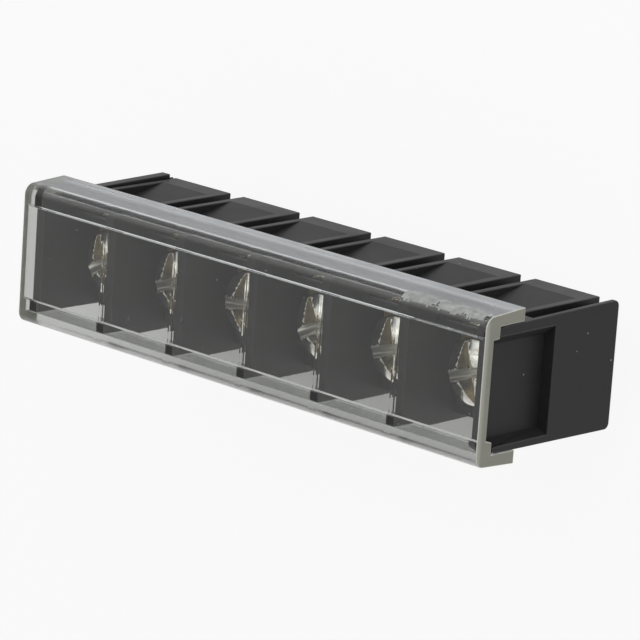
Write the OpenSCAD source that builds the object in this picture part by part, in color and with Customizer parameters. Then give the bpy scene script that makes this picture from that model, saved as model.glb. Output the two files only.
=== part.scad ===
// Barrier terminal block for a printed circuit board, with a clear clip-on cover.
// Millimetres. X runs along the row of poles, Y from the wire entry to the rear, Z up from the board.
// The origin is the middle of the row, on the face that sits on the board.

/* [Row] */
// Number of poles
poles = 6; // [2:1:12]
// Distance from one pole to the next
pitch = 9.5; // [9:0.1:11]

/* [Walls and barriers] */
// Thickness of the barriers between the cells
barrier_t = 1.1; // [0.9:0.05:1.3]
// Height of the barriers above the board, behind their ears
barrier_top = 16.4; // [15:0.1:16.8]
// Rear side of the barriers' ears, from the row's middle plane
ear_in = 4.85; // [4.6:0.05:5.2]
// Front edge of the barriers, from the row's middle plane
barrier_front = 6.45; // [6.2:0.05:6.8]
// Gap between the front part of the barriers and the cover
barrier_gap = 0.3; // [0.2:0.05:0.6]
// Height of the outer walls and of the barriers' ears above the board
wall_top = 16.9; // [16.5:0.1:18]
// Gap between the board and the lower edge of the walls and barriers
wall_lift = 0.5; // [0.2:0.1:1]
// Width of the walls at their lower edge
wall_w = 12.24; // [12:0.02:13]
// Draft of the wall and barrier edges, in degrees
wall_draft = 1; // [0.5:0.1:1.5]
// Radius of the last wall's corners
wall_corner = 0.6; // [0.3:0.05:0.7]
// Thickness of the last wall
end_t = 2.4; // [2.2:0.05:3]
// Height at which the recess in the last wall starts
recess_start = 9.3; // [8:0.1:11]
// Rear edge of the recess at the outer face, from the row's middle plane
recess_rear = 4.95; // [4.7:0.05:5]
// Front edge of the recess at the outer face, from the row's middle plane
recess_front = 5.25; // [5:0.05:5.3]
// Run of the recess's sloping rear side
rear_bevel = 1.05; // [0.8:0.05:1.3]
// Run of the recess's sloping front side
front_bevel = 0.5; // [0.3:0.05:0.8]

/* [Pole blocks] */
// Depth of the blocks, front to rear
block_d = 11.5; // [11.3:0.02:11.7]
// Width of the slots between the blocks
slot_w = 1.7; // [1.4:0.05:2]
// Depth of the slots between the blocks
slot_d = 1.5; // [1.2:0.05:1.6]
// Depth of the slots beside the first and the last wall
end_slot_d = 0.8; // [0.6:0.05:0.9]
// Thickness of the lip that closes the slot beside the last wall
end_lip = 0.55; // [0.4:0.05:0.8]
// Height of the shelf that carries the terminals
shelf_z = 9; // [8.5:0.1:9.4]
// Thickness of the shelf
shelf_t = 2; // [1.5:0.1:2.5]
// Height of the rear wall of the cells
rear_top = 12; // [11.5:0.1:12.5]
// Inner face of the rear wall, from the row's middle plane
rear_in = 3; // [2.8:0.05:3.2]
// Height of the level strip below the ramp
strip_h = 2.5; // [2:0.1:3]
// Slope of the ramp, in degrees
ramp_slope = 11.7; // [10:0.1:12.5]
// Thickness of the rims on both sides of the ramp
rim_t = 0.76; // [0.6:0.02:1]
// Wall thickness round the pocket under each pole
pocket_wall = 1.2; // [1:0.05:1.4]

/* [Terminals] */
// Thickness of the clamp plate
plate_t = 1.5; // [1.3:0.05:1.7]
// Gap between the clamp plate and each barrier
plate_gap = 1.2; // [0.9:0.05:1.4]
// Front edge of the clamp plate, from the row's middle plane
plate_front = 3.2; // [3:0.05:4]
// Thickness of the leg and of the solder pin
leg_t = 0.8; // [0.6:0.05:0.9]
// Width of the leg
leg_w = 2.4; // [2:0.1:3]
// Width of the solder pin
pin_w = 1.2; // [1:0.05:1.5]
// Length of the solder pin below the board face
pin_l = 4; // [3:0.1:5]
// Clearance of the terminal in the housing
terminal_fit = 0.05; // [0.03:0.01:0.1]

/* [Screws] */
// Diameter of the shank
screw_d = 3.4; // [3:0.1:3.8]
// Radial clearance of the shank in the clamp plate
thread_fit = 0.05; // [0.02:0.01:0.1]
// Radial clearance of the shank in the shelf
shelf_fit = 0.35; // [0.2:0.05:0.5]
// Length of the shank
screw_l = 6; // [5:0.1:7]
// Diameter of the head
head_d = 6.4; // [6:0.1:6.8]
// Height of the head
head_h = 2.6; // [2.3:0.1:3]
// Height of the head's straight side
head_side = 1.3; // [1:0.1:1.6]
// Width of the slot in the head
drive_w = 1; // [0.8:0.05:1.2]
// Depth of the slot and of the cross recess
drive_d = 1.4; // [1.2:0.05:1.6]
// Span of the cross recess's wings
cross_span = 5.8; // [5:0.1:6]
// Width of the wings at their floor
wing_floor = 1; // [0.8:0.05:1.2]
// Width of the wings at the top of the head
wing_top = 2.3; // [1.8:0.1:2.6]
// Width of the wings at their tips
wing_tip = 0.7; // [0.5:0.05:0.9]
// Distance of the screws in front of the row's middle plane
screw_off = 0.5; // [0:0.05:0.8]

/* [Cover] */
// Thickness of the window
window_t = 1.18; // [1:0.02:1.4]
// Drop of the ledges that rest on the walls, below the window
ledge_h = 0.78; // [0.6:0.02:1]
// Inner edge of the ledges at their lower side, from the middle plane
ledge_low = 4.75; // [4.5:0.05:5]
// Inner edge of the ledges at the window, from the middle plane
ledge_high = 4.53; // [4.3:0.05:4.6]
// Clearance between the flanges and the walls
cover_fit = 0.05; // [0.02:0.01:0.1]
// Thickness of the flanges at their root
flange_t = 1; // [0.9:0.02:1.2]
// Depth of the flanges below the ledges
flange_reach = 3.2; // [2.5:0.1:4]
// Outward lean of the flanges' outer face, in degrees
flange_lean = 3.6; // [3:0.1:5]
// Radius of the cover's front corners
cover_corner = 1; // [0.6:0.05:1.2]
// How much shorter the cover is than the housing
cover_short = 0.9; // [0.5:0.05:1.5]
// How far the cover sits to one side of the middle
cover_shift = 0.4; // [0:0.05:0.45]

/* [Hidden] */
half_row = poles * pitch / 2;
block_w = pitch - slot_w;
plate_w = pitch - barrier_t - 2 * plate_gap;
end_inner = half_row - barrier_t / 2;
end_outer = end_inner + end_t;
slot_outer = end_outer - end_lip;
end_middle = end_inner + barrier_t;
recess_d = end_outer - end_middle;
slot_floor = block_d / 2 - slot_d;
plate_top = shelf_z + plate_t;
leg_rear = rear_in - terminal_fit;
leg_front = leg_rear - leg_t;
head_dome = (pow(head_d / 2, 2) + pow(head_h - head_side, 2)) / (2 * (head_h - head_side));
drive_floor = head_h - drive_d;
cover_top = wall_top + ledge_h + window_t;
flange_root = wall_half(wall_top) + cover_fit;
flange_tip = wall_half(wall_top - flange_reach) + cover_fit;
flange_out = flange_root + flange_t;
flange_z = wall_top - flange_reach;
cover_l = 2 * end_outer - cover_short;
// Straight pieces in a rounded corner, overlap of joined volumes, and how far cuts run past a face
arc_steps = 6;
lap = 0.2;
far = 1;
$fn = 48;

// Middle of a pole along the row
function pole_x(i) = (i - 0.5) * pitch - half_row;
// Half width of the drafted walls at a height
function wall_half(z) = wall_w / 2 - tan(wall_draft) * (z - wall_lift);
// Rear face of the ramp at a height
function ramp_y(z) = block_d / 2 - tan(ramp_slope) * (z - strip_h);
// Resting angle of each screw's slot, in degrees from the row
function drive_turn(i) = [32, 20, 5, 30, 18, 19][(i - 1) % 6];

// Unit vector from one point towards another
function toward(from, to) = (to - from) / norm(to - from);
// Points of a rounded corner at b, between a and c
function corner(a, b, c, r) =
    let (u = toward(b, a), v = toward(b, c))
    let (half = acos(u * v) / 2, middle = b + (u + v) / norm(u + v) * r / sin(half))
    let (start = b + u * r / tan(half) - middle, end = b + v * r / tan(half) - middle)
    let (sweep = atan2(start.x * end.y - start.y * end.x, start * end))
    [for (k = [0 : arc_steps])
        let (t = sweep * k / arc_steps)
        middle + [start.x * cos(t) - start.y * sin(t), start.x * sin(t) + start.y * cos(t)]];
// Points of a polygon whose corners have the given radii, 0 for a sharp corner
function rounded(points, radii) =
    let (n = len(points))
    [for (k = [0 : n - 1])
        each radii[k] > 0
            ? corner(points[(k + n - 1) % n], points[k], points[(k + 1) % n], radii[k])
            : [points[k]]];

// A solid of a profile drawn in Y and Z, from one place on the row to another
module along_row(from, to) {
    translate([from, 0, 0])
        rotate([90, 0, 90])
        linear_extrude(to - from)
        children();
}

// A box from one corner to the opposite one
module box(low, high) {
    translate(low)
        cube(high - low);
}

// Outline of a drafted wall up to a height
module wall_outline(top, radius) {
    polygon(rounded(
        [
            [-wall_half(wall_lift), wall_lift],
            [wall_half(wall_lift), wall_lift],
            [wall_half(top), top],
            [-wall_half(top), top]
        ],
        [radius, radius, radius, radius]
    ));
}

// The base with the shelf, and the low rear wall of the cells
module base() {
    base_end = end_inner + lap;
    box([-base_end, -block_d / 2, 0], [base_end, block_d / 2, shelf_z]);
    box([-base_end, rear_in, 0], [base_end, block_d / 2, rear_top]);
}

// Last wall: an inner layer like a barrier, and a taller outer layer that carries the cover
module last_wall() {
    along_row(end_inner, end_middle + lap)
        wall_outline(barrier_top, wall_corner);
    along_row(end_middle, end_outer)
        wall_outline(wall_top, wall_corner);
}

// First wall: plain and as thin as a barrier
module first_wall() {
    along_row(-end_middle, -end_inner)
        wall_outline(wall_top, 0);
}

// Barriers: an ear carries the cover, and the front edge stands proud below the cover
module barriers() {
    step = flange_z - barrier_gap;
    for (i = [1 : poles - 1])
        along_row(pole_x(i) + (pitch - barrier_t) / 2, pole_x(i) + (pitch + barrier_t) / 2)
            polygon([
                [-barrier_front, wall_lift],
                [wall_half(wall_lift), wall_lift],
                [wall_half(barrier_top), barrier_top],
                [-ear_in, barrier_top],
                [-ear_in, wall_top],
                [-wall_half(wall_top), wall_top],
                [-wall_half(step), step],
                [-barrier_front, step]
            ]);
}

// Slots between the blocks and beside the first and the last wall, open to the rear and to the board
module slots() {
    end_floor = block_d / 2 - end_slot_d;
    for (i = [1 : poles - 1])
        box(
            [pole_x(i) + block_w / 2, slot_floor, -far],
            [pole_x(i + 1) - block_w / 2, wall_w, rear_top]
        );
    box([-end_inner, end_floor, -far], [slot_w / 2 - half_row, wall_w, rear_top]);
    box([half_row - slot_w / 2, end_floor, -far], [slot_outer, wall_w, rear_top]);
}

// The ramp cut into the rear face of a block, between its rims
module ramp(i) {
    high = rear_top + far;
    along_row(pole_x(i) - block_w / 2 + rim_t, pole_x(i) + block_w / 2 - rim_t)
        polygon([
            [block_d / 2, strip_h],
            [wall_w, strip_h],
            [wall_w, high],
            [ramp_y(high), high]
        ]);
}

// The pocket under a pole, with the holes for the screw and the leg
module pocket(i) {
    pocket_top = shelf_z - shelf_t;
    pocket_half = block_w / 2 - pocket_wall;
    box(
        [pole_x(i) - pocket_half, pocket_wall - block_d / 2, -far],
        [pole_x(i) + pocket_half, ramp_y(pocket_top) - pocket_wall, pocket_top]
    );
    translate([pole_x(i), -screw_off, pocket_top - far])
        cylinder(r = screw_d / 2 + shelf_fit, h = shelf_t + 2 * far);
    box(
        [pole_x(i) - leg_w / 2 - terminal_fit, leg_front - terminal_fit, pocket_top - far],
        [pole_x(i) + leg_w / 2 + terminal_fit, rear_in, shelf_z + far]
    );
}

// Recess in the outer face of the last wall, open at the top, with sloping sides
module recess() {
    flare = 1 + far / recess_d;
    rear_floor = recess_rear - rear_bevel;
    front_floor = recess_front - front_bevel;
    translate([0, 0, recess_start])
        linear_extrude(wall_top)
        polygon([
            [end_middle, -front_floor],
            [end_outer + far, -front_floor - front_bevel * flare],
            [end_outer + far, rear_floor + rear_bevel * flare],
            [end_middle, rear_floor]
        ]);
}

module housing() {
    color([0.16, 0.16, 0.17])
        difference() {
            union() {
                base();
                first_wall();
                last_wall();
                barriers();
            }
            slots();
            recess();
            for (i = [1 : poles]) {
                ramp(i);
                pocket(i);
            }
        }
}

// Clear cover: a window, two ledges that rest on the walls and two leaning flanges
module cover() {
    spread = tan(flange_lean) * (cover_top - flange_z);
    side = [
        [ledge_high, cover_top - window_t],
        [ledge_low, wall_top],
        [flange_root, wall_top],
        [flange_tip, flange_z],
        [flange_out + spread, flange_z],
        [flange_out, cover_top]
    ];
    other = [for (k = [5 : -1 : 0]) [-side[k].x, side[k].y]];
    radii = [0, 0, 0, 0, 0, cover_corner, cover_corner, 0, 0, 0, 0, 0];
    color([0.8, 0.85, 0.87, 0.4])
        along_row(cover_shift - cover_l / 2, cover_shift + cover_l / 2)
        polygon(rounded(concat(side, other), radii));
}

// Clamp plate, leg and solder pin, bent from one strip
module terminal(i) {
    color([0.78, 0.62, 0.3])
        translate([pole_x(i), 0, 0])
        difference() {
            union() {
                box([-plate_w / 2, -plate_front, shelf_z], [plate_w / 2, leg_rear, plate_top]);
                box([-leg_w / 2, leg_front, 0], [leg_w / 2, leg_rear, shelf_z + plate_t / 2]);
                box([-pin_w / 2, leg_front, -pin_l], [pin_w / 2, leg_rear, far]);
            }
            translate([0, -screw_off, shelf_z - far])
                cylinder(r = screw_d / 2 + thread_fit, h = plate_t + 2 * far);
        }
}

// Wings of the cross recess: a trough with sloping sides that narrows towards its two tips
module wings() {
    slope = (wing_top - wing_floor) / (2 * drive_d);
    intersection() {
        rotate([90, 0, 0])
            linear_extrude(cross_span, center = true)
            polygon([
                [-wing_floor / 2, drive_floor],
                [wing_floor / 2, drive_floor],
                [wing_top / 2 + slope * lap, head_h + lap],
                [-wing_top / 2 - slope * lap, head_h + lap]
            ]);
        linear_extrude(head_h + far)
            polygon([
                [wing_tip / 2, -cross_span / 2],
                [wing_top / 2, -wing_top / 2],
                [wing_top / 2, wing_top / 2],
                [wing_tip / 2, cross_span / 2],
                [-wing_tip / 2, cross_span / 2],
                [-wing_top / 2, wing_top / 2],
                [-wing_top / 2, -wing_top / 2],
                [-wing_tip / 2, -cross_span / 2]
            ]);
    }
}

// Clamping screw with a domed head, a slot across it and the flared wings of a cross recess
module screw(i) {
    color([0.75, 0.73, 0.7])
        translate([pole_x(i), -screw_off, plate_top])
        rotate([0, 0, drive_turn(i)])
        difference() {
            union() {
                translate([0, 0, -screw_l])
                    cylinder(d = screw_d, h = screw_l + far);
                intersection() {
                    cylinder(d = head_d, h = head_h);
                    translate([0, 0, head_h - head_dome])
                        sphere(r = head_dome, $fn = 96);
                }
            }
            box([-head_d, -drive_w / 2, drive_floor], [head_d, drive_w / 2, head_h + far]);
            wings();
        }
}

housing();
cover();
for (i = [1 : poles]) {
    terminal(i);
    screw(i);
}
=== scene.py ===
# %% [markdown]
# # A barrier terminal block with a clear cover
#
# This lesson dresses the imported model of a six-pole terminal block: a black moulded housing, brass terminals,
# plated clamp screws and a clear clip-on cover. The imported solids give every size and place. The scene adds what
# a close look shows: rounded moulding edges, threads, drive recesses, the fine prisms in the cover, and finishes.

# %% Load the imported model
import math

import bmesh
import bpy
from mathutils import Matrix, Vector, noise


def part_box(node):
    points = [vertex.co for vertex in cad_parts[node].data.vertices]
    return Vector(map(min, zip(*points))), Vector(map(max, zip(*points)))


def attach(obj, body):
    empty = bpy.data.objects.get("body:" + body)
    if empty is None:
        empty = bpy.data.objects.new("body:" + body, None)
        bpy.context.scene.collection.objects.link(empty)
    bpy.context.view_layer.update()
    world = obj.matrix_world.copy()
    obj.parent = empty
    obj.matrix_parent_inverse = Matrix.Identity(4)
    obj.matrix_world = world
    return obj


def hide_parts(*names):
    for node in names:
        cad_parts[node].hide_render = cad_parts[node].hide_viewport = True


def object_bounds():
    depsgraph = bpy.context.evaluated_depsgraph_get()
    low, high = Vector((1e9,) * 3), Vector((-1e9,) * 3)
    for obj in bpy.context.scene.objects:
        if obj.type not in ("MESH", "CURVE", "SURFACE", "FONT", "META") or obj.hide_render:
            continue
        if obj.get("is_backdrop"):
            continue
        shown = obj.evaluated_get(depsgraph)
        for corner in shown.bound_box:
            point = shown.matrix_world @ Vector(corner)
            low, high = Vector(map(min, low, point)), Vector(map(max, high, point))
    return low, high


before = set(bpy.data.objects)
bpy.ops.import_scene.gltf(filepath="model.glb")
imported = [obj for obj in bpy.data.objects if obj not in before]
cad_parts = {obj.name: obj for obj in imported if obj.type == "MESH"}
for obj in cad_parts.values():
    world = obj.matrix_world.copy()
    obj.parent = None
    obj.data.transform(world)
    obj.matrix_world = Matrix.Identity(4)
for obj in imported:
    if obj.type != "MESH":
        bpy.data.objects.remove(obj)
cad_low, cad_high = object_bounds()
print("packed nodes:", sorted(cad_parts))

# %% [markdown]
# ## The bench
#
# The real parts are a few millimetres across. Blender's modelling tools have fixed tolerances that are coarse at
# that size, so every new piece is shaped on a bench where one unit is a millimetre, and is brought down to metres
# when it is finished. The scale is applied, so each finished object sits at the origin, unturned and unscaled.
#
# An operator acts on all that is selected. The first helpers make sure that this is only the wanted piece, or the
# wanted part of its mesh.

# %% Bench: choose what a tool acts on
SELECT_MODES = {"verts": "VERT", "edges": "EDGE", "faces": "FACE"}


def clear_selection():
    """Leaves no object selected, so that an operator acts only on the next piece."""
    if bpy.context.mode != "OBJECT":
        bpy.ops.object.mode_set(mode="OBJECT")
    bpy.ops.object.select_all(action="DESELECT")


def take(piece):
    """Makes one object the selected and active one."""
    clear_selection()
    piece.select_set(True)
    bpy.context.view_layer.objects.active = piece


def open_mesh(piece):
    """Enters edit mode with nothing selected in the mesh."""
    take(piece)
    bpy.ops.object.mode_set(mode="EDIT")
    bpy.ops.mesh.select_mode(type="VERT")
    bpy.ops.mesh.select_all(action="DESELECT")


def pick(piece, kind, test):
    """Selects the vertices, edges or faces of the open mesh that pass a test, and says how many there are."""
    bpy.ops.mesh.select_mode(type=SELECT_MODES[kind])
    bpy.ops.mesh.select_all(action="DESELECT")
    mesh = bmesh.from_edit_mesh(piece.data)
    found = [part for part in getattr(mesh, kind) if test(part)]
    for part in found:
        part.select_set(True)
    mesh.select_flush_mode()
    bmesh.update_edit_mesh(piece.data)
    return len(found)


def close_mesh():
    """Leaves edit mode."""
    bpy.ops.object.mode_set(mode="OBJECT")


# %% Bench: shape and place a piece
MM = 0.001
NEAR = 1e-3


def shape(piece, kind, **settings):
    """Adds a modifier with the given settings and applies it."""
    take(piece)
    modifier = piece.modifiers.new(kind.title(), kind)
    for name, value in settings.items():
        setattr(modifier, name, value)
    bpy.ops.object.modifier_apply(modifier=modifier.name)


def apply_place(piece):
    """Moves an object's place, turn and size into its mesh."""
    take(piece)
    bpy.ops.object.transform_apply(location=True, rotation=True, scale=True)


def to_metres(piece):
    """Brings a finished piece from bench millimetres to metres."""
    piece.scale = (MM, MM, MM)
    apply_place(piece)


print("bench unit:", MM, "m, same place within:", NEAR, "mm")

# %% [markdown]
# ## Camera
#
# The block lies on its wire-entry side in the photograph, with the cover towards the viewer. The model keeps its
# own frame, with the board face down, so the camera is turned instead: its axes and place were solved from the
# straight edges of the housing. A long lens gives the same mild perspective.

# %% Camera
EYE = Vector((252.03, 94.28, 282.83)) * MM
LOOK_RIGHT = Vector((0.7242, 0.0676, -0.6862))
LOOK_UP = Vector((-0.2192, 0.9661, -0.1361))
LENS = 228.3
SENSOR = 36.0
NEAREST, FARTHEST = 0.01, 20

camera_data = bpy.data.cameras.new("camera")
camera_data.lens = LENS
camera_data.sensor_width = SENSOR
camera_data.clip_start = NEAREST
camera_data.clip_end = FARTHEST
camera = bpy.data.objects.new("camera", camera_data)
bpy.context.scene.collection.objects.link(camera)
look_back = LOOK_RIGHT.cross(LOOK_UP).normalized()
true_up = look_back.cross(LOOK_RIGHT).normalized()
turn = Matrix((LOOK_RIGHT.normalized(), true_up, look_back)).transposed()
camera.matrix_world = Matrix.Translation(EYE) @ turn.to_4x4()
bpy.context.scene.camera = camera
print("camera distance:", round(EYE.length, 3), "m")

# %% [markdown]
# ## Housing
#
# The housing is one black moulding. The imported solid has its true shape, but its edges are perfectly sharp, and on
# a real moulding every outer edge has a small radius that catches the light. It could be modelled anew, but a copy
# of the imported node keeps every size. The node is made of loose triangles, so the copy is welded and its flat faces
# are made whole. Then a narrow bevel goes on each outer edge that turns by more than 30 degrees, and the inner
# corners stay sharp and dark.
#
# Bevels and cuts leave slivers whose ends are almost at one place, and a weld closes them. It keeps the first vertex
# of each group, and a cut may leave the vertices in any order. So the weld sorts them by their distance from a point
# that lies off every plane of symmetry, and gives the same mesh on every run.

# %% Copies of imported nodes
COPY_WELD = 0.002
FLAT_TURN = math.radians(1)


def bench_copy(node, name):
    """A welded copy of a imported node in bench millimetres, with its flat faces whole again."""
    piece = bpy.data.objects.new(name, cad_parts[node].data.copy())
    bpy.context.scene.collection.objects.link(piece)
    piece.data.name = name
    piece.data.materials.clear()
    piece.scale = (1 / MM, 1 / MM, 1 / MM)
    apply_place(piece)
    open_mesh(piece)
    bpy.ops.mesh.select_all(action="SELECT")
    bpy.ops.mesh.remove_doubles(threshold=COPY_WELD)
    bpy.ops.mesh.dissolve_limited(angle_limit=FLAT_TURN)
    close_mesh()
    return piece


housing = bench_copy("housing", "housing_moulding")
print("housing copy faces:", len(housing.data.polygons))

# %% Housing with rounded edges
MOULD_RADIUS = 0.09
MOULD_TURN = math.radians(30)
MOULD_WELD = 0.003
MOULD_NARROW = 1.5 * MOULD_RADIUS
SORT_FROM = (31.7, 47.3, 71.9)


def weld(piece, distance):
    """Joins vertices that lie closer than a distance."""
    open_mesh(piece)
    bpy.ops.mesh.select_all(action="SELECT")
    bpy.context.scene.cursor.location = SORT_FROM
    bpy.ops.mesh.sort_elements(type="CURSOR_DISTANCE", elements={"VERT", "EDGE", "FACE"})
    bpy.ops.mesh.remove_doubles(threshold=distance)
    close_mesh()


def is_outer_edge(edge):
    """True where two faces turn away from each other, as at an outer edge of the moulding."""
    return len(edge.link_faces) == 2 and edge.calc_face_angle_signed() > MOULD_TURN


def mark_rounded(piece, widest):
    """Notes each narrow rounding, which finishes paint lighter, as wear and as a painted highlight."""
    worn = piece.data.attributes.new("worn", "FLOAT", "FACE")
    points = [vertex.co for vertex in piece.data.vertices]
    for face in piece.data.polygons:
        longest = max((points[a] - points[b]).length for a, b in face.edge_keys)
        worn.data[face.index].value = float(face.area < widest * longest)


open_mesh(housing)
rounded_edges = pick(housing, "edges", is_outer_edge)
bpy.ops.mesh.bevel(offset=MOULD_RADIUS, segments=2, affect="EDGES", clamp_overlap=False)
close_mesh()
weld(housing, MOULD_WELD)
mark_rounded(housing, MOULD_NARROW)
take(housing)
bpy.ops.object.shade_flat()
to_metres(housing)
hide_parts("housing")
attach(housing, "housing")
print("housing faces:", len(housing.data.polygons), "rounded edges:", rounded_edges)

# %% [markdown]
# ## Terminals
#
# Each terminal is stamped from brass strip and bent: a clamp plate, a leg and a solder pin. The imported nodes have
# that shape, so copies are dressed here too. Stamping rounds the edges of the strip a little, so a Bevel modifier
# gives them a finer radius than the moulding has.

# %% Terminals with stamped edges
STAMP_RADIUS = 0.06
STAMP_TURN = math.radians(40)
POLES = sum(name.startswith("screw_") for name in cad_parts)

for pole in range(1, POLES + 1):
    terminal = bench_copy(f"terminal_{pole}", f"clamp_terminal_{pole}")
    shape(terminal, "BEVEL", width=STAMP_RADIUS, segments=2, limit_method="ANGLE", angle_limit=STAMP_TURN)
    take(terminal)
    bpy.ops.object.shade_flat()
    to_metres(terminal)
    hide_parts(f"terminal_{pole}")
    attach(terminal, "housing")
print("terminals:", POLES, "faces each:", len(terminal.data.polygons))

# %% [markdown]
# ## Clamp screws
#
# The screws have a tall pan head with a sawn slot and, across it, the two tapered wings of a cross. One screw is
# modelled upright, with the underside of its head at the origin, and copied to the poles later. The head could be
# spun from a profile. Here it starts as a cylinder whose upper face is raised and drawn in ring by ring along the
# dome, because each ring then lies just where it is wanted.

# %% Screw head
HEAD_RADIUS = 3.2
HEAD_HEIGHT = 2.6
HEAD_STRAIGHT = 1.0
HEAD_RIM = 0.15
HEAD_SIDES = 72
SHOULDER = [(3.18, 1.16), (3.11, 1.31), (3.0, 1.45)]
DOME_RISE = 1.3
DOME_RADIUS = (HEAD_RADIUS**2 + DOME_RISE**2) / (2 * DOME_RISE)
DOME_RINGS = [2.8, 2.5, 2.15, 1.8, 1.45, 1.1, 0.75, 0.4]
UPWARD = 0.9


def dome_height(radius):
    """The height of the dome at a distance from the screw's axis."""
    return HEAD_HEIGHT - DOME_RADIUS + math.sqrt(DOME_RADIUS**2 - radius**2)


clear_selection()
bpy.ops.mesh.primitive_cylinder_add(
    vertices=HEAD_SIDES,
    radius=HEAD_RADIUS,
    depth=HEAD_STRAIGHT,
    location=(0, 0, HEAD_STRAIGHT / 2),
    end_fill_type="NGON",
)
head = bpy.context.active_object
head.name = "screw_head"
apply_place(head)
open_mesh(head)
pick(head, "faces", lambda face: face.normal.z > UPWARD)
radius, height = HEAD_RADIUS, HEAD_STRAIGHT
for next_radius, next_height in SHOULDER + [(ring, dome_height(ring)) for ring in DOME_RINGS]:
    bpy.ops.mesh.extrude_region_move(TRANSFORM_OT_translate={"value": (0, 0, next_height - height)})
    factor = next_radius / radius
    bpy.ops.transform.resize(value=(factor, factor, 1), center_override=(0, 0, next_height))
    radius, height = next_radius, next_height
pick(head, "edges", lambda edge: all(abs(v.co.z) < NEAR for v in edge.verts))
bpy.ops.mesh.bevel(offset=HEAD_RIM, segments=2, affect="EDGES")
close_mesh()
print("head height:", round(max(v.co.z for v in head.data.vertices), 3))

# %% [markdown]
# ### Drive recess
#
# The slot of the real head is sawn and its floor is rounded, and the wings are punched. They could be drawn into the
# dome face by face, but boolean tools cut as the saw and the punch do, and follow the dome. The saw is a block with
# two rounded lower edges, and each punch is a block drawn in towards its foot and its tip.
#
# The cuts leave slivers along the rings of the dome, and a bevel would stop at them. So the head is welded first, and
# then a bevel breaks the edges.

# %% Tools for the recess
SLOT_WIDTH = 1.0
SLOT_DEPTH = 1.4
SLOT_ROUND = 0.36
WING_REACH = 2.9
WING_TOP = 1.15
WING_TIP_TOP = 0.35
WING_FOOT = 0.5
WING_TIP_FOOT = 0.2


def block(name, size, middle):
    """A plain block to cut with."""
    clear_selection()
    bpy.ops.mesh.primitive_cube_add(size=1, location=middle)
    tool = bpy.context.active_object
    tool.name = name
    tool.scale = size
    apply_place(tool)
    return tool


def wing_punch(outward):
    """A punch for one wing of the cross, on the side that outward gives: 1 or -1."""
    middle = (0, outward * WING_REACH / 2, HEAD_HEIGHT - SLOT_DEPTH / 2)
    punch = block("wing_punch", (2 * WING_TOP, WING_REACH, SLOT_DEPTH), middle)
    corners = ((True, False, WING_TIP_TOP), (False, True, WING_FOOT), (True, True, WING_TIP_FOOT))
    open_mesh(punch)
    for at_tip, at_foot, half in corners:
        pick(
            punch,
            "verts",
            lambda v: (outward * v.co.y > WING_REACH / 2) == at_tip and (v.co.z < middle[2]) == at_foot,
        )
        bpy.ops.transform.resize(value=(half / WING_TOP, 1, 1), center_override=middle)
    close_mesh()
    return punch


saw = block("saw", (3 * HEAD_RADIUS, SLOT_WIDTH, 2 * SLOT_DEPTH), (0, 0, HEAD_HEIGHT))
open_mesh(saw)
pick(saw, "edges", lambda edge: edge.calc_length() > HEAD_RADIUS and edge.verts[0].co.z < HEAD_HEIGHT)
bpy.ops.mesh.bevel(offset=SLOT_ROUND, segments=4, affect="EDGES")
close_mesh()
print("saw faces:", len(saw.data.polygons))

# %% Drive recess
HEAD_WELD = 0.06
BROKEN_EDGE = 0.11
BROKEN_TURN = math.radians(32)


def combine(piece, tool, operation):
    """Cuts a tool out of a piece or joins it on, and puts the tool away."""
    shape(piece, "BOOLEAN", operation=operation, solver="EXACT", object=tool)
    bpy.data.objects.remove(tool)


combine(head, saw, "DIFFERENCE")
for outward in (1, -1):
    combine(head, wing_punch(outward), "DIFFERENCE")
weld(head, HEAD_WELD)
shape(
    head,
    "BEVEL",
    width=BROKEN_EDGE,
    segments=2,
    limit_method="ANGLE",
    angle_limit=BROKEN_TURN,
    use_clamp_overlap=True,
)
print("head faces:", len(head.data.polygons))

# %% [markdown]
# ### Threaded shank
#
# The thread is rolled on the shank and ends in a plain neck under the head. A bump in the finish would do from far
# off, but the outline of the shank would stay straight. So the section of one ridge is wound round the axis by a
# Screw modifier and joined to a shank that is as thick as the root of the thread.

# %% Shank
SHANK_LENGTH = 6.0
SHANK_OVERLAP = 0.2
SHANK_SIDES = 48
SHANK_TIP = 0.25
THREAD_ROOT = 1.36

clear_selection()
bpy.ops.mesh.primitive_cylinder_add(
    vertices=SHANK_SIDES,
    radius=THREAD_ROOT,
    depth=SHANK_LENGTH + SHANK_OVERLAP,
    location=(0, 0, (SHANK_OVERLAP - SHANK_LENGTH) / 2),
    end_fill_type="NGON",
)
shank = bpy.context.active_object
shank.name = "screw_shank"
apply_place(shank)
open_mesh(shank)
pick(shank, "edges", lambda edge: all(v.co.z < NEAR - SHANK_LENGTH for v in edge.verts))
bpy.ops.mesh.bevel(offset=SHANK_TIP, segments=2, affect="EDGES")
close_mesh()
print("shank faces:", len(shank.data.polygons))

# %% Thread
THREAD_CREST = 1.68
THREAD_RISE = 0.6
THREAD_STEPS = 32
NECK = 1.0
RIDGE_START = 0.45
RIDGE_SUNK = 0.1
RIDGE_FOOT_WIDTH = 0.52
RIDGE_CREST_WIDTH = 0.12

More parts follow.
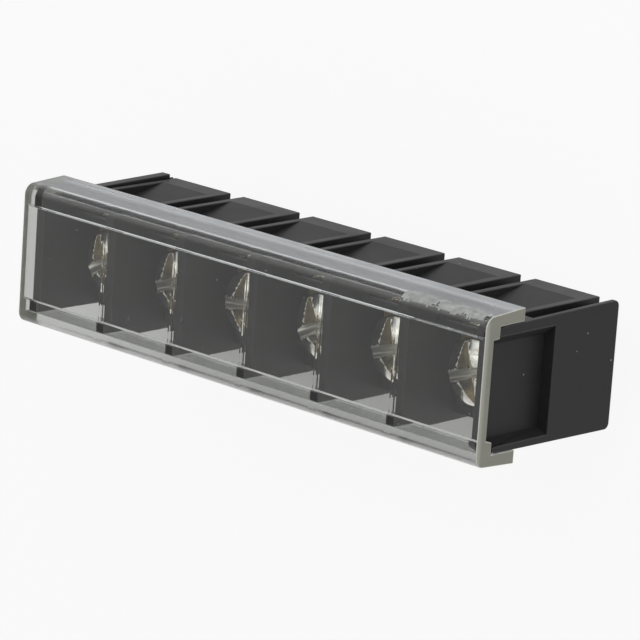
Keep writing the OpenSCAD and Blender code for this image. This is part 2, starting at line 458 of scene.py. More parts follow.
ridge_middle = (THREAD_ROOT, 0, RIDGE_START - SHANK_LENGTH)
clear_selection()
bpy.ops.mesh.primitive_plane_add(size=1, location=ridge_middle, rotation=(math.pi / 2, 0, 0))
ridge = bpy.context.active_object
ridge.name = "screw_ridge"
apply_place(ridge)
open_mesh(ridge)
for way, reach, width in (
    (-1, THREAD_ROOT - RIDGE_SUNK, RIDGE_FOOT_WIDTH),
    (1, THREAD_CREST, RIDGE_CREST_WIDTH),
):
    pick(ridge, "verts", lambda v: way * (v.co.x - THREAD_ROOT) > 0)
    bpy.ops.transform.translate(value=(reach - (THREAD_ROOT + way / 2), 0, 0))
    bpy.ops.transform.resize(value=(1, 1, width), center_override=ridge_middle)
close_mesh()
shape(
    ridge,
    "SCREW",
    axis="Z",
    angle=2 * math.pi,
    screw_offset=THREAD_RISE,
    iterations=int((SHANK_LENGTH - NECK) / THREAD_RISE),
    steps=THREAD_STEPS,
    render_steps=THREAD_STEPS,
    use_normal_calculate=True,
    use_merge_vertices=False,
)
open_mesh(ridge)
bpy.ops.mesh.select_mode(type="EDGE")
bpy.ops.mesh.select_non_manifold(extend=False)
bpy.ops.mesh.edge_face_add()
bpy.ops.mesh.select_all(action="SELECT")
bpy.ops.mesh.normals_make_consistent(inside=False)
close_mesh()
print("ridge faces:", len(ridge.data.polygons))

# %% Whole screw
SHANK_WELD = 0.0022
SMOOTH_TURN = math.radians(50)
HEAD_WEIGHT = 70

combine(shank, ridge, "UNION")
combine(head, shank, "UNION")
weld(head, SHANK_WELD)
take(head)
bpy.ops.object.shade_smooth_by_angle(angle=SMOOTH_TURN)
shape(head, "WEIGHTED_NORMAL", mode="FACE_AREA", weight=HEAD_WEIGHT, keep_sharp=True)
print("screw faces:", len(head.data.polygons))

# %% [markdown]
# ### Notes for the finish
#
# The finish changes from face to face: the punched wings are painted darker and browner as painted shade in the
# recess, the slot less so, and the broken edges are painted pale as a painted highlight. A mask painted by hand would
# do the same, but here the place and the shape of a face tell what it is. So each face gets its notes as attributes,
# and each vertex keeps its place on the bench, which stays centred on the head wherever the screw goes.

# %% Notes for the screw finish
# The next two values are the slot's share of the painted shade and of the painted highlight.
SLOT_SHADE_SHARE = 0.3
SLOT_HIGHLIGHT = 0.22
RIM_TOP = 0.2
SIDE_MARGIN = 0.02
SUNK_DEPTH = 0.05
SLOT_MARGIN = 0.01

own = head.data.attributes.new("own", "FLOAT_VECTOR", "POINT")
for vertex in head.data.vertices:
    own.data[vertex.index].vector = vertex.co
recess = head.data.attributes.new("recess", "FLOAT", "FACE")
bare = head.data.attributes.new("bare", "FLOAT", "FACE")
points = [vertex.co for vertex in head.data.vertices]
for face in head.data.polygons:
    reach = math.hypot(face.center.x, face.center.y)
    on_head = face.center.z > RIM_TOP and reach < HEAD_RADIUS - SIDE_MARGIN
    sunk = on_head and face.center.z < dome_height(reach) - SUNK_DEPTH
    in_slot = sunk and abs(face.center.y) < SLOT_WIDTH / 2 + SLOT_MARGIN
    # Painted shade: sunk faces get the recess note, full on the wings and a share in the slot.
    recess.data[face.index].value = float(sunk) * (SLOT_SHADE_SHARE if in_slot else 1)
    longest = max((points[a] - points[b]).length for a, b in face.edge_keys)
    broken = face.area < BROKEN_EDGE * longest and face.center.z > HEAD_STRAIGHT
    # Painted highlight: the broken edges get the full note, the slot floor a share.
    bare.data[face.index].value = 1 if broken else SLOT_HIGHLIGHT * float(in_slot)
print("recess faces:", sum(note.value > 0 for note in recess.data))
print("bare faces:", sum(note.value > 0 for note in bare.data))

# %% Place the screws
SCREW_TURNS = [32, 20, 5, 30, 18, 19]

for pole in range(1, POLES + 1):
    low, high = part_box(f"screw_{pole}")
    screw = head.copy()
    screw.data = head.data.copy()
    screw.name = f"clamp_screw_{pole}"
    screw.data.name = screw.name
    bpy.context.scene.collection.objects.link(screw)
    screw.rotation_euler = (0, 0, math.radians(SCREW_TURNS[pole - 1]))
    screw.location = (
        (low.x + high.x) / 2 / MM,
        (low.y + high.y) / 2 / MM,
        low.z / MM + SHANK_LENGTH,
    )
    apply_place(screw)
    to_metres(screw)
    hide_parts(f"screw_{pole}")
    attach(screw, f"screw_{pole}")
bpy.data.objects.remove(head)
print("screws placed:", POLES)

# %% [markdown]
# ## Clear cover
#
# The cover is a length of clear extrusion with a C-shaped section: a window, a ledge on each side that rests on the
# walls, and flanges that clip over them. A block could be hollowed out, but an extrusion is made most simply as the
# real one is. Its section is traced by extruding a vertex from corner to corner, closed to a face, and pulled along
# the row. It is pulled in steps, which leave edge lines across the window where fine prisms lie opposite each
# barrier, so those edges only have to be lifted.

# %% Cover section
WALL_TOP = 16.9
WINDOW = 1.18
LEDGE_LOW = 4.75
LEDGE_HIGH = 4.53
LEDGE_REAR = 4.72
FLANGE_ROOT = 5.884
FLANGE_TIP = 5.94
FLANGE_OUT = 6.884
CHIP_TOP = 17.1

cover_low, cover_high = (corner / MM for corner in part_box("cover"))
half_width = cover_high.y
inner_z = cover_high.z - WINDOW
flange_lean = (half_width - FLANGE_OUT) / (cover_high.z - cover_low.z)
side = [
    (LEDGE_HIGH, inner_z),
    (LEDGE_LOW, WALL_TOP),
    (FLANGE_ROOT, WALL_TOP),
    (FLANGE_TIP, cover_low.z),
    (half_width, cover_low.z),
    (FLANGE_OUT + flange_lean * (cover_high.z - CHIP_TOP), CHIP_TOP),
    (FLANGE_OUT, cover_high.z),
]
section = [(LEDGE_REAR, inner_z)] + side[1:] + [(-y, z) for y, z in reversed(side)]
print("cover section corners:", len(section))

# %% Lines across the window
PITCH = 9.5
PRISM = 0.33
PRISMS = 3
PRISM_SHIFT = 0.15

cover_middle = (cover_low.x + cover_high.x) / 2
prism_lines = []
for pole in range(1, POLES):
    boundary = cover_middle + PRISM_SHIFT + PITCH * (pole - POLES / 2)
    for line in range(2 * PRISMS + 1):
        prism_lines.append((boundary + (line - PRISMS) * PRISM / 2, line % 2))
stations = [cover_low.x] + [x for x, _ in prism_lines] + [cover_high.x]
print("steps along the cover:", len(stations) - 1)

# %% Cover body
clear_selection()
bpy.ops.mesh.primitive_plane_add(size=1, location=(0, 0, 0))
cover = bpy.context.active_object
cover.name = "clear_cover"
cover.data.name = "clear_cover"
open_mesh(cover)
bpy.ops.mesh.select_all(action="SELECT")
bpy.ops.mesh.merge(type="CENTER")
bpy.ops.transform.translate(value=(cover_low.x, *section[0]))
for (y0, z0), (y1, z1) in zip(section, section[1:]):
    bpy.ops.mesh.extrude_region_move(TRANSFORM_OT_translate={"value": (0, y1 - y0, z1 - z0)})
bpy.ops.mesh.select_all(action="SELECT")
bpy.ops.mesh.edge_face_add()
for x0, x1 in zip(stations, stations[1:]):
    bpy.ops.mesh.extrude_region_move(TRANSFORM_OT_translate={"value": (x1 - x0, 0, 0)})
bpy.ops.mesh.select_all(action="SELECT")
bpy.ops.mesh.normals_make_consistent(inside=False)
close_mesh()
print("cover body faces:", len(cover.data.polygons))

# %% Prisms and long corners
PRISM_DEPTH = 0.022
INNER_BAND = 0.2
CORNER = 1.0


def along_front(edge):
    """True for the two long front corners of the cover."""
    first, second = (v.co for v in edge.verts)
    in_front = all(abs(point.z - cover_high.z) < NEAR for point in (first, second))
    return in_front and abs(first.y - second.y) < NEAR


open_mesh(cover)
for x, raised in prism_lines:
    if raised:
        pick(cover, "verts", lambda v: abs(v.co.x - x) < NEAR and abs(v.co.z - inner_z) < INNER_BAND)
        bpy.ops.transform.translate(value=(0, 0, PRISM_DEPTH))
front_edges = pick(cover, "edges", along_front)
bpy.ops.mesh.bevel(offset=CORNER, segments=7, affect="EDGES")
close_mesh()
print("rounded front edges:", front_edges)

# %% [markdown]
# The other edges of the extrusion are only just broken. Smooth shading would let such a narrow rounding bend the look
# of the wide faces beside it, as a lens does, and sharp shading would show its facets. So the roundings are shaded
# smooth, the edges between wide faces are marked sharp, and a Weighted Normal modifier keeps the wide faces flat.

# %% Broken edges of the cover
COVER_EDGE = 0.07
COVER_TURN = math.radians(40)
COVER_NARROW = 0.3
COVER_WEIGHT = 80


def hold_flats(piece):
    """Shades the narrow roundings smooth and keeps the wide faces between them truly flat."""
    take(piece)
    bpy.ops.object.shade_smooth()
    narrow = [note.value > 0 for note in piece.data.attributes["worn"].data]
    open_mesh(piece)
    pick(piece, "edges", lambda edge: not any(narrow[face.index] for face in edge.link_faces))
    bpy.ops.mesh.mark_sharp()
    close_mesh()
    shape(piece, "WEIGHTED_NORMAL", mode="FACE_AREA", weight=COVER_WEIGHT, keep_sharp=True)


shape(cover, "BEVEL", width=COVER_EDGE, segments=2, limit_method="ANGLE", angle_limit=COVER_TURN)
mark_rounded(cover, COVER_NARROW)
for face in cover.data.polygons:
    if abs(face.center.y) < LEDGE_HIGH and abs(face.center.z - inner_z) < INNER_BAND:
        cover.data.attributes["worn"].data[face.index].value = 0
hold_flats(cover)
print("narrow faces:", sum(note.value > 0 for note in cover.data.attributes["worn"].data))

# %% [markdown]
# ### Chips and sawn ends
#
# The long corner between the window and the rear flange has been rubbed and chipped near one end: a frosty band runs
# along it, straight on the flange and ragged towards the window. It could be a mask in the finish alone, but chips
# also break the outline. So the long faces there are divided, and noise along the band decides how far the frost
# comes round the corner. The frosty faces sink a little and are set apart for a dull finish, and so are the sawn
# ends.

# %% The frosty band
CHIPS_FROM, CHIPS_TO = 19.9, 29.6
CHIP_START = 38
CHIP_WAVES = ((22, 0.9), (14, 4.3))
GAP_SCALE = 2.1
GAP_PLACE = Vector((0, 5, 0))
GAP_BELOW = -0.3


def round_corner(point):
    """How far round the corner a point lies: 0 degrees at the front, 90 and more on the flange."""
    return math.degrees(math.atan2(point.y - FLANGE_OUT + CORNER, point.z - cover_high.z + CORNER))


def is_chipped(point):
    """True inside the frosty band, which is ragged towards the window and has gaps."""
    along = Vector((point.x, 0, 0))
    limit = CHIP_START + sum(degrees * noise.noise(along * scale) for degrees, scale in CHIP_WAVES)
    in_gap = noise.noise(along * GAP_SCALE + GAP_PLACE) <= GAP_BELOW
    on_corner = point.z > CHIP_TOP and point.y > FLANGE_OUT - CORNER
    in_band = CHIPS_FROM < point.x < CHIPS_TO and on_corner
    return in_band and round_corner(point) > limit and not in_gap


print("band length:", round(CHIPS_TO - CHIPS_FROM, 2), "mm")

# %% Chips and sawn ends
CHIP_CUTS = 64
CHIP_DEPTH = 0.05
SINK_MEAN, SINK_SPREAD, SINK_SCALE = 0.6, 0.4, 3.7
CHIP_LARGEST = 0.3
CORNER_SHARE = 0.95
LINE_MARGIN = 0.01
LONG_EDGE = 3
END_FACING = 0.3
SAWN, CHIPPED = 1, 2


def beside_chips(edge):
    """True for a long edge on the rear corner that reaches into the band."""
    lowest = CHIP_TOP - LINE_MARGIN
    corner_start = FLANGE_OUT - CORNER_SHARE * CORNER
    on_corner = all(v.co.z > lowest and v.co.y > corner_start for v in edge.verts)
    places = [v.co.x for v in edge.verts]
    return on_corner and abs(places[0] - places[1]) > LONG_EDGE and max(places) > CHIPS_FROM


open_mesh(cover)
pick(cover, "edges", beside_chips)
bpy.ops.mesh.subdivide(number_cuts=CHIP_CUTS)
close_mesh()
for vertex in cover.data.vertices:
    if is_chipped(vertex.co):
        share = SINK_MEAN + SINK_SPREAD * noise.noise(vertex.co * SINK_SCALE)
        vertex.co -= vertex.normal * CHIP_DEPTH * share
for face in cover.data.polygons:
    if abs(face.normal.x) > END_FACING:
        face.material_index = SAWN
    elif is_chipped(face.center) and face.area < CHIP_LARGEST:
        face.material_index = CHIPPED
chips = sum(face.material_index == CHIPPED for face in cover.data.polygons)
to_metres(cover)
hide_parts("cover")
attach(cover, "cover")
print("cover faces:", len(cover.data.polygons), "chips:", chips)

# %% [markdown]
# ## Finishes
#
# No surface of the real block is one flat colour. The moulding has a fine grain and a little dust, the metals have
# streaks and stains, and the cover is scratched, and hazy where it has been handled. Pictures could carry all that,
# but nodes need no file and stay sharp at any distance. The helpers below keep each finish to a few lines.


# %% Node helpers
def feed(tree, socket, value):
    """Links another node's output to a socket, or sets the socket to a value."""
    if isinstance(value, bpy.types.NodeSocket):
        tree.links.new(value, socket)
    else:
        socket.default_value = value


def add(tree, kind, feeds=None, **settings):
    """Adds a node; feeds gives each named input a value or another node's output."""
    node = tree.nodes.new("ShaderNode" + kind)
    for name, value in settings.items():
        setattr(node, name, value)
    for name, value in (feeds or {}).items():
        feed(tree, node.inputs[name], value)
    return node


def new_group(name, inputs, outputs):
    """An empty node group, with the node that holds its inputs and the node that takes its outputs."""
    group = bpy.data.node_groups.new(name, "ShaderNodeTree")
    for socket, kind, value in inputs:
        made = group.interface.new_socket(socket, in_out="INPUT", socket_type="NodeSocket" + kind)
        made.default_value = value
    for socket in outputs:
        group.interface.new_socket(socket, in_out="OUTPUT", socket_type="NodeSocketFloat")
    return group, group.nodes.new("NodeGroupInput"), group.nodes.new("NodeGroupOutput")


def place_group(tree, group, feeds):
    """Puts a node group in a material with its own values."""
    return add(tree, "Group", node_tree=group, feeds=feeds)


# %% [markdown]
# ### Shared effects
#
# Three effects come back on several pieces, so each is a node group that is built once, and every finish sets its
# own values on it. Grain is noise in two sizes: a fine one for the surface and a slow one for the change of gloss
# over it. Specks are the middles of a few cells of a Voronoi pattern, which gives small round dots at random places.
# Streaks are noise stretched along one direction. The pieces are in metres, so the scales are in cells per metre: at
# 5000, a cell is a fifth of a millimetre.

# %% Grain group
grain_group, start, end = new_group(
    "surface_grain",
    [("Vector", "Vector", (0, 0, 0)), ("Fine", "Float", 5000), ("Slow", "Float", 250)],
    ["Height", "Cloud"],
)
fine = add(
    grain_group,
    "TexNoise",
    {"Vector": start.outputs["Vector"], "Scale": start.outputs["Fine"], "Detail": 3, "Roughness": 0.6},
)
slow = add(
    grain_group,
    "TexNoise",
    {"Vector": start.outputs["Vector"], "Scale": start.outputs["Slow"], "Detail": 4, "Roughness": 0.55},
)
cloud = add(grain_group, "MapRange", {"Value": slow.outputs["Fac"], "From Min": 0.3, "From Max": 0.7})
grain_group.links.new(fine.outputs["Fac"], end.inputs["Height"])
grain_group.links.new(cloud.outputs["Result"], end.inputs["Cloud"])
print("grain nodes:", len(grain_group.nodes))

# %% Specks group
speck_group, start, end = new_group(
    "dust_specks",
    [
        ("Vector", "Vector", (0, 0, 0)),
        ("Scale", "Float", 400),
        ("Size", "Float", 0.05),
        ("Share", "Float", 0.2),
    ],
    ["Mask"],
)
spread = {"Vector": start.outputs["Vector"], "Scale": start.outputs["Scale"]}
cells = add(speck_group, "TexVoronoi", spread, feature="F1")
chance = add(speck_group, "SeparateColor", {"Color": cells.outputs["Color"]}).outputs["Red"]
near = add(speck_group, "Math", {0: cells.outputs["Distance"], 1: start.outputs["Size"]}, operation="LESS_THAN")
chosen = add(speck_group, "Math", {0: chance, 1: start.outputs["Share"]}, operation="LESS_THAN")
both = add(speck_group, "Math", {0: near.outputs[0], 1: chosen.outputs[0]}, operation="MULTIPLY")
speck_group.links.new(both.outputs[0], end.inputs["Mask"])
print("speck nodes:", len(speck_group.nodes))

# %% Streaks group
streak_group, start, end = new_group(
    "fine_streaks",
    [
        ("Vector", "Vector", (0, 0, 0)),
        ("Stretch", "Vector", (1, 1, 1)),
        ("Scale", "Float", 1000),
        ("Start", "Float", 0.5),
        ("Full", "Float", 0.75),
    ],
    ["Mask"],
)
stretch = {0: start.outputs["Vector"], 1: start.outputs["Stretch"]}
stretched = add(streak_group, "VectorMath", stretch, operation="MULTIPLY")
lines = add(
    streak_group,
    "TexNoise",
    {"Vector": stretched.outputs[0], "Scale": start.outputs["Scale"], "Detail": 4, "Roughness": 0.65},
)
ramp = add(
    streak_group,
    "MapRange",
    {"Value": lines.outputs["Fac"], "From Min": start.outputs["Start"], "From Max": start.outputs["Full"]},
)
streak_group.links.new(ramp.outputs["Result"], end.inputs["Mask"])
print("streak nodes:", len(streak_group.nodes))

# %% [markdown]
# ### Black plastic
#
# The housing is a glass-filled black plastic. It is not quite black: a dull, slightly uneven skin with a fine grain,
# and with a few specks of dust. Its edges are painted a little brighter, partly as rubbing and partly as a painted
# highlight where the roundings catch the light. One dark tone would look like a hole in the picture. The gloss of the
# skin is what shapes it to the eye, so roughness varies more than colour does.

# %% Material helpers
MIX_FIRST, MIX_SECOND, MIX_OUT = 6, 7, 2


def new_material(name):
    """A material with its node tree and its Principled shader."""
    material = bpy.data.materials.new(name)
    material.use_nodes = True
    return material, material.node_tree, material.node_tree.nodes["Principled BSDF"]


def blend_colour(tree, mask, first, second):
    """A colour that goes from the first to the second as a mask goes from 0 to 1."""
    mixer = add(tree, "Mix", data_type="RGBA")
    feed(tree, mixer.inputs["Factor"], mask)
    for number, colour in ((MIX_FIRST, first), (MIX_SECOND, second)):
        linked = isinstance(colour, bpy.types.NodeSocket)
        feed(tree, mixer.inputs[number], colour if linked else (*colour, 1))
    return mixer.outputs[MIX_OUT]


def blend_value(tree, mask, first, second):
    """A value that goes from the first to the second as a mask goes from 0 to 1."""
    return add(tree, "MapRange", {"Value": mask, "To Min": first, "To Max": second}).outputs["Result"]


def raise_surface(tree, shader, height, strength, distance):
    """Feeds a height through a Bump node to a shader's normal."""
    bump = add(tree, "Bump", {"Strength": strength, "Distance": distance, "Height": height})
    tree.links.new(bump.outputs["Normal"], shader.inputs["Normal"])


def dress(material, prefix):
    """Gives a material to every new piece whose name starts with a prefix."""
    pieces = [piece for piece in bpy.data.objects if piece.type == "MESH" and piece.name.startswith(prefix)]
    for piece in pieces:
        piece.data.materials.clear()
        piece.data.materials.append(material)
    print(material.name, "on pieces:", len(pieces))


# %% Black plastic
SKIN_DARK = (0.0105, 0.0105, 0.011)
SKIN_PALE = (0.0165, 0.0165, 0.0165)
# The rubbed tone is partly a painted highlight on the edges.
SKIN_RUBBED_HIGHLIGHT = (0.028, 0.028, 0.028)
SKIN_DUST = (0.2, 0.2, 0.19)
SKIN_ROUGH = (0.4, 0.52)
RUBBED_ROUGH = 0.33
SKIN_SPECULAR = 0.2

plastic, tree, shader = new_material("black_plastic")
place = add(tree, "TexCoord").outputs["Object"]
grain = place_group(tree, grain_group, {"Vector": place, "Fine": 6500, "Slow": 160})
specks = place_group(tree, speck_group, {"Vector": place, "Scale": 500, "Size": 0.05, "Share": 0.7})
worn = add(tree, "Attribute", attribute_name="worn").outputs["Fac"]
skin = blend_colour(tree, grain.outputs["Cloud"], SKIN_DARK, SKIN_PALE)
# Painted highlight: the narrow roundings are painted lighter, partly as rubbing and partly as the light they catch.
rubbed_and_highlit = blend_colour(tree, worn, skin, SKIN_RUBBED_HIGHLIGHT)
dusty = blend_colour(tree, specks.outputs["Mask"], rubbed_and_highlit, SKIN_DUST)
tree.links.new(dusty, shader.inputs["Base Color"])
rough = blend_value(tree, grain.outputs["Cloud"], *SKIN_ROUGH)
tree.links.new(blend_value(tree, worn, rough, RUBBED_ROUGH), shader.inputs["Roughness"])
shader.inputs["Specular IOR Level"].default_value = SKIN_SPECULAR
raise_surface(tree, shader, grain.outputs["Height"], strength=0.25, distance=0.03 * MM)
dress(plastic, "housing_moulding")

# %% [markdown]
# ### Brass
#
# The terminals are rolled brass strip, stamped and bent. Rolling leaves fine lines along the strip, and handling
# leaves brown stains. A single metal tone would look like plated card, so both are masks between two tones of the
# metal, and the stains are duller.

# %% Brass
BRASS_BRIGHT = (0.78, 0.58, 0.26)
BRASS_LINES = (0.66, 0.47, 0.19)
BRASS_STAIN = (0.55, 0.38, 0.15)
BRASS_ROUGH = (0.22, 0.42)

brass, tree, shader = new_material("brass")
place = add(tree, "TexCoord").outputs["Object"]
rolled = place_group(
    tree,
    streak_group,
    {"Vector": place, "Stretch": (1, 0.06, 0.06), "Scale": 4000, "Start": 0.35, "Full": 0.75},
)
stains = place_group(tree, grain_group, {"Vector": place, "Fine": 3000, "Slow": 700})
metal = blend_colour(tree, rolled.outputs["Mask"], BRASS_BRIGHT, BRASS_LINES)
toned = blend_colour(tree, stains.outputs["Cloud"], metal, BRASS_STAIN)
tree.links.new(toned, shader.inputs["Base Color"])
tree.links.new(blend_value(tree, stains.outputs["Cloud"], *BRASS_ROUGH), shader.inputs["Roughness"])
shader.inputs["Metallic"].default_value = 1
raise_surface(tree, shader, rolled.outputs["Mask"], strength=0.15, distance=0.02 * MM)
dress(brass, "clamp_terminal")

# %% [markdown]
# ### Plated steel
#
# The screws are bright nickel-plated steel. The dome is turned, so it has fine rings round its own axis, which use
# the place that each vertex kept from the bench. The punched wings are painted a darker brown, unevenly, as painted
# shade in the recess, and the slot less so. The broken edges, and a little the slot floor, are painted pale and made
# rough as a painted highlight, so they show as bright lines round the recess, as on the real heads. The notes on the
# faces say where each of these is.

# %% Plated steel
STEEL_BRIGHT = (0.79, 0.77, 0.73)
STEEL_RINGS = (0.7, 0.68, 0.64)
# The next two tones are painted light: a darker brown as shade in the recess, and a pale tone as a highlight.
STEEL_RECESS_SHADE = (0.48, 0.43, 0.33)
STEEL_HIGHLIGHT = (1.0, 0.97, 0.9)
RECESS_SHADE_SPREAD = (0.6, 1.0)
RING_ROUGH = (0.15, 0.24)
RECESS_ROUGH = 0.25
HIGHLIGHT_ROUGH = 0.6
FLAT = (1, 1, 0)

plated, tree, shader = new_material("plated_steel")
place = add(tree, "TexCoord").outputs["Object"]
own_place = add(tree, "Attribute", attribute_name="own").outputs["Vector"]
recess_note = add(tree, "Attribute", attribute_name="recess").outputs["Fac"]
highlight_note = add(tree, "Attribute", attribute_name="bare").outputs["Fac"]
flat = add(tree, "VectorMath", {0: own_place, 1: FLAT}, operation="MULTIPLY").outputs[0]
from_axis = add(tree, "VectorMath", {0: flat}, operation="LENGTH").outputs["Value"]
rings = add(tree, "TexNoise", {"W": from_axis, "Scale": 14, "Detail": 3}, noise_dimensions="1D").outputs["Fac"]
# Painted shade: the recess faces are painted a darker, uneven brown.
shade_cloud = place_group(tree, grain_group, {"Vector": place, "Fine": 4000, "Slow": 900})
shade_amount = blend_value(tree, shade_cloud.outputs["Cloud"], *RECESS_SHADE_SPREAD)
recess_shade = add(tree, "Math", {0: shade_amount, 1: recess_note}, operation="MULTIPLY").outputs[0]
bright = blend_colour(tree, rings, STEEL_BRIGHT, STEEL_RINGS)
toned = blend_colour(tree, recess_shade, bright, STEEL_RECESS_SHADE)
# Painted highlight: the broken edges and the slot floor are painted pale.
tree.links.new(blend_colour(tree, highlight_note, toned, STEEL_HIGHLIGHT), shader.inputs["Base Color"])
polish = blend_value(tree, rings, *RING_ROUGH)
dull = blend_value(tree, recess_shade, polish, RECESS_ROUGH)
tree.links.new(blend_value(tree, highlight_note, dull, HIGHLIGHT_ROUGH), shader.inputs["Roughness"])
shader.inputs["Metallic"].default_value = 1
raise_surface(tree, shader, rings, strength=0.12, distance=0.02 * MM)
dress(plated, "clamp_screw")

# %% [markdown]
# ### Clear plastic
#
# The cover is a clear extrusion. The die leaves faint lines along it, the flanges are hazy from handling, and the
# window has short scratches and dust. Towards the rear the haze starts later, so that the rubbed corner is still
# seen into, and the rear flange is a little bluish. A see-through mix would be quicker to render, but only real glass
# bends and mirrors what is behind the ledges. So haze and scratches only raise the roughness, and the plastic itself
# stays plain glass with the index of polycarbonate. Shadow rays pass straight through it, so that lamps still light
# what is behind the cover.

# %% Haze and scratches
HAZE_START = 5.85 * MM
HAZE_FULL = 6.35 * MM
REAR_CLEAR = 0.6 * MM

clear, tree, shader = new_material("clear_plastic")
place = add(tree, "TexCoord").outputs["Object"]
across = add(tree, "SeparateXYZ", {"Vector": place}).outputs["Y"]
forward = add(tree, "Math", {0: across, 1: -1}, operation="MULTIPLY").outputs[0]
rearward = add(tree, "Math", {0: across, 1: REAR_CLEAR}, operation="SUBTRACT").outputs[0]
off_middle = add(tree, "Math", {0: forward, 1: rearward}, operation="MAXIMUM").outputs[0]
haze_range = {"From Min": HAZE_START, "From Max": HAZE_FULL}
on_flange = add(tree, "MapRange", {"Value": off_middle, **haze_range}).outputs["Result"]
on_rear = add(tree, "MapRange", {"Value": rearward, **haze_range}).outputs["Result"]
die_lines = place_group(
    tree,
    streak_group,
    {"Vector": place, "Stretch": (0.008, 1, 1), "Scale": 2600, "Start": 0.3, "Full": 0.8},
).outputs["Mask"]
scratches = place_group(
    tree,
    streak_group,
    {"Vector": place, "Stretch": (1, 0.12, 1), "Scale": 1800, "Start": 0.66, "Full": 0.74},
).outputs["Mask"]
specks = place_group(tree, speck_group, {"Vector": place, "Scale": 300, "Size": 0.03, "Share": 0.25})
haze = add(tree, "Math", {0: on_flange, 1: die_lines}, operation="MULTIPLY").outputs[0]
marks = add(tree, "Math", {0: scratches, 1: specks.outputs["Mask"]}, operation="MAXIMUM").outputs[0]
print("masks of the clear plastic:", len(tree.nodes), "nodes")

# %% Clear plastic
CLEAR_TINT = (0.9, 0.91, 0.885)
CLEAR_HAZE = (0.95, 0.97, 0.96)
CLEAR_REAR = (0.74, 0.78, 0.83)
CLEAR_SHADE = (0.9, 0.91, 0.9, 1)
WINDOW_ROUGH, FLANGE_ROUGH = 0.02, 0.26
HAZE_ROUGH = 0.38
MARK_ROUGH = 0.3
POLYCARBONATE = 1.585

clean_rough = blend_value(tree, on_flange, WINDOW_ROUGH, FLANGE_ROUGH)
hazy_rough = blend_value(tree, haze, clean_rough, HAZE_ROUGH)
tree.links.new(blend_value(tree, marks, hazy_rough, MARK_ROUGH), shader.inputs["Roughness"])
tint = blend_colour(tree, haze, CLEAR_TINT, CLEAR_HAZE)
tree.links.new(blend_colour(tree, on_rear, tint, CLEAR_REAR), shader.inputs["Base Color"])
shader.inputs["IOR"].default_value = POLYCARBONATE
shader.inputs["Transmission Weight"].default_value = 1
raise_surface(tree, shader, die_lines, strength=0.025, distance=0.02 * MM)
shadow_ray = add(tree, "LightPath").outputs["Is Shadow Ray"]
open_way = add(tree, "BsdfTransparent", {"Color": CLEAR_SHADE})
mixer = add(tree, "MixShader", {0: shadow_ray, 1: shader.outputs[0], 2: open_way.outputs[0]})
tree.links.new(mixer.outputs[0], tree.nodes["Material Output"].inputs["Surface"])
cover.data.materials.append(clear)
print("cover finishes:", [material.name for material in cover.data.materials])

# %% [markdown]
# ### Sawn ends and chips
#
# The extrusion was sawn to length, which leaves both ends dull and yellowish grey, with faint saw marks. Towards the
# window the ends are painted lighter, as painted light that comes in through the window, and their rims carry a
# painted highlight. Rubbing has left a frosty, chipped band along one corner. Very rough glass could stand for both,
# but it renders noisily. Neither is clear any more, so both are plain rough plastic on the faces that were set apart
# for them.

# %% Sawn ends
LIT_FROM = 18.2 * MM
LIT_TO = 18.6 * MM
SAWN_DARK = (0.165, 0.167, 0.135)
SAWN_PALE = (0.235, 0.237, 0.2)
SAWN_LINES = (0.19, 0.19, 0.155)
# The next two tones are painted light: the end lit through the window, and a highlight on its rims.
SAWN_WINDOW_LIGHT = (0.31, 0.31, 0.265)
SAWN_RIM_HIGHLIGHT = (0.5, 0.5, 0.46)
SAWN_ROUGH = (0.42, 0.6)

sawn, tree, shader = new_material("sawn_end")
place = add(tree, "TexCoord").outputs["Object"]
saw_lines = place_group(
    tree,
    streak_group,
    {"Vector": place, "Stretch": (1, 1, 0.08), "Scale": 3200, "Start": 0.3, "Full": 0.75},
).outputs["Mask"]
clouds = place_group(tree, grain_group, {"Vector": place, "Fine": 5000, "Slow": 350}).outputs["Cloud"]
# Painted light: the end is painted lighter towards the window, where light comes in through it.
level = add(tree, "SeparateXYZ", {"Vector": place}).outputs["Z"]
lit = add(tree, "MapRange", {"Value": level, "From Min": LIT_FROM, "From Max": LIT_TO}).outputs["Result"]
# Painted highlight: the rims of the sawn end are painted pale.
rim_highlight = add(tree, "Attribute", attribute_name="worn").outputs["Fac"]
tone = blend_colour(tree, clouds, SAWN_DARK, SAWN_PALE)
sawed = blend_colour(tree, saw_lines, tone, SAWN_LINES)
window_lit = blend_colour(tree, lit, sawed, SAWN_WINDOW_LIGHT)
tree.links.new(blend_colour(tree, rim_highlight, window_lit, SAWN_RIM_HIGHLIGHT), shader.inputs["Base Color"])
tree.links.new(blend_value(tree, clouds, *SAWN_ROUGH), shader.inputs["Roughness"])
raise_surface(tree, shader, saw_lines, strength=0.3, distance=0.03 * MM)
cover.data.materials.append(sawn)
print("cover finishes:", [material.name for material in cover.data.materials])

# %% Chips
CHIP_DARK = (0.19, 0.2, 0.195)
CHIP_PALE = (0.36, 0.37, 0.36)
CHIP_ROUGH = (0.35, 0.7)

chipped, tree, shader = new_material("chipped_plastic")
place = add(tree, "TexCoord").outputs["Object"]
crumbs = place_group(tree, grain_group, {"Vector": place, "Fine": 7000, "Slow": 1500})
frost = blend_colour(tree, crumbs.outputs["Cloud"], CHIP_DARK, CHIP_PALE)
tree.links.new(frost, shader.inputs["Base Color"])
tree.links.new(blend_value(tree, crumbs.outputs["Height"], *CHIP_ROUGH), shader.inputs["Roughness"])
raise_surface(tree, shader, crumbs.outputs["Height"], strength=0.6, distance=0.08 * MM)
cover.data.materials.append(chipped)
print("cover finishes:", [material.name for material in cover.data.materials])

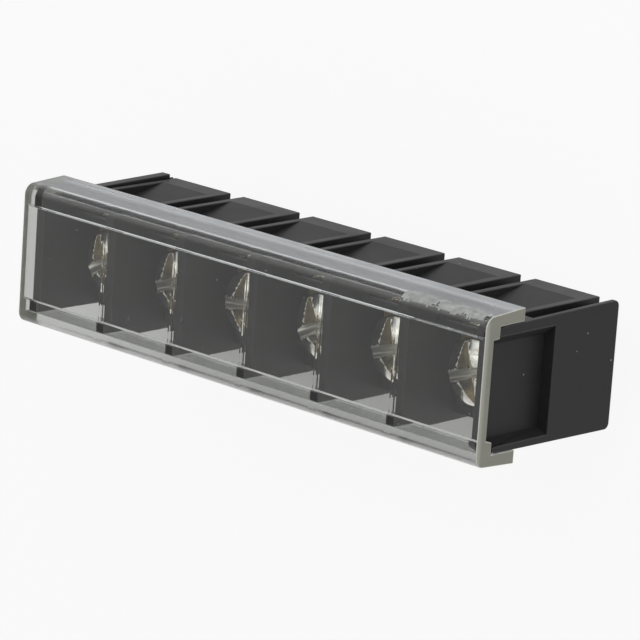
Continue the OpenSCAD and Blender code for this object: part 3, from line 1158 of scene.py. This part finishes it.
# %% [markdown]
# ## Studio
#
# The block stands in even, soft light on a pale floor. A floor lit to white would need more light than the object
# should get. So the floor and the sky are white to the camera and to mirrored rays by their own glow, and the floor
# keeps a share of its shading, which is where the shadow shows. Seen through the cover, the floor is nearly all
# shading, as it would be in the shade of the block.

# %% Floor
FLOOR_SIZE = 6
FLOOR_TONE = (0.72, 0.72, 0.72, 1)
FLOOR_ROUGH = 0.9
CAMERA_SHARE = 0.9
THROUGH_SHARE = 0.05

clear_selection()
bpy.ops.mesh.primitive_plane_add(size=FLOOR_SIZE, location=(0, 0, cad_low.z))
floor = bpy.context.active_object
floor.name = "floor"
floor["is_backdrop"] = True
white, tree, shader = new_material("white_floor")
shader.inputs["Base Color"].default_value = FLOOR_TONE
shader.inputs["Roughness"].default_value = FLOOR_ROUGH
path = add(tree, "LightPath").outputs
seen = add(tree, "Math", {0: path["Is Camera Ray"], 1: path["Is Glossy Ray"]}, operation="MAXIMUM")
direct = add(tree, "Math", {0: seen.outputs[0], 1: CAMERA_SHARE}, operation="MULTIPLY")
share = blend_value(tree, path["Is Transmission Ray"], direct.outputs[0], THROUGH_SHARE)
glow = add(tree, "Emission", {"Strength": 1.0})
mixer = add(tree, "MixShader", {0: share, 1: shader.outputs[0], 2: glow.outputs[0]})
tree.links.new(mixer.outputs[0], tree.nodes["Material Output"].inputs["Surface"])
floor.data.materials.append(white)
print("floor height:", round(cad_low.z, 5), "m")

# %% [markdown]
# The sky lights the block evenly from all round. To the camera it is plain white. To mirrored rays and to rays
# through the cover it is white too, but dimmer on one side, above the wire entry and the first poles. The clear
# window mirrors that side, and would wash out if it were as white as the rest.

# %% World
SKY_LIGHT = 0.45
SKY_DIM = 0.5
DIM_SIDE = (-0.62, -0.45, 0.64)
DIM_START, DIM_FULL = 0.55, 0.9

world = bpy.data.worlds.new("studio")
bpy.context.scene.world = world
world.use_nodes = True
tree = world.node_tree
sky = tree.nodes["Background"]
sky.inputs["Color"].default_value = (1, 1, 1, 1)
path = add(tree, "LightPath").outputs
direction = add(tree, "TexCoord").outputs["Generated"]
toward_dim = add(tree, "VectorMath", {0: direction, 1: DIM_SIDE}, operation="DOT_PRODUCT").outputs["Value"]
dimmed = add(
    tree,
    "MapRange",
    {"Value": toward_dim, "From Min": DIM_START, "From Max": DIM_FULL, "To Min": 1.0, "To Max": SKY_DIM},
).outputs["Result"]
seen = add(tree, "Math", {0: path["Is Glossy Ray"], 1: path["Is Transmission Ray"]}, operation="MAXIMUM")
mirrored = blend_value(tree, seen.outputs[0], SKY_LIGHT, dimmed)
tree.links.new(blend_value(tree, path["Is Camera Ray"], mirrored, 1.0), sky.inputs["Strength"])
print("sky light:", SKY_LIGHT)

# %% [markdown]
# Two large lamps give the soft shading: the key from the rear and above, which lights the ramps of the pole blocks,
# and a weaker fill from the end with the recess. Small lamps would draw hard shadows, which the photograph does not
# show.

# %% Lamps
LAMP_AIM = Vector((0, 0, 0.008))


def soft_lamp(name, place, size, power):
    """A square area lamp at a place, aimed at the middle of the block."""
    lamp_data = bpy.data.lights.new(name, "AREA")
    lamp_data.size = size
    lamp_data.energy = power
    lamp = bpy.data.objects.new(name, lamp_data)
    bpy.context.scene.collection.objects.link(lamp)
    lamp.location = place
    lamp.rotation_euler = (LAMP_AIM - Vector(place)).to_track_quat("-Z", "Y").to_euler()
    print(name, "size:", size, "m, power:", power, "W")


soft_lamp("key_lamp", place=(0.05, 0.5, 0.3), size=0.8, power=2.5)
soft_lamp("fill_lamp", place=(0.5, 0.1, 0.2), size=0.4, power=0.8)

# %% [markdown]
# ## Sizes
#
# The dressed block must be as large as the imported one, so its box is printed.

# %% Finish
bpy.context.scene.view_settings.view_transform = "Standard"
low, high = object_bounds()
print("visual box:", [round(value, 5) for value in (*low, *high)])
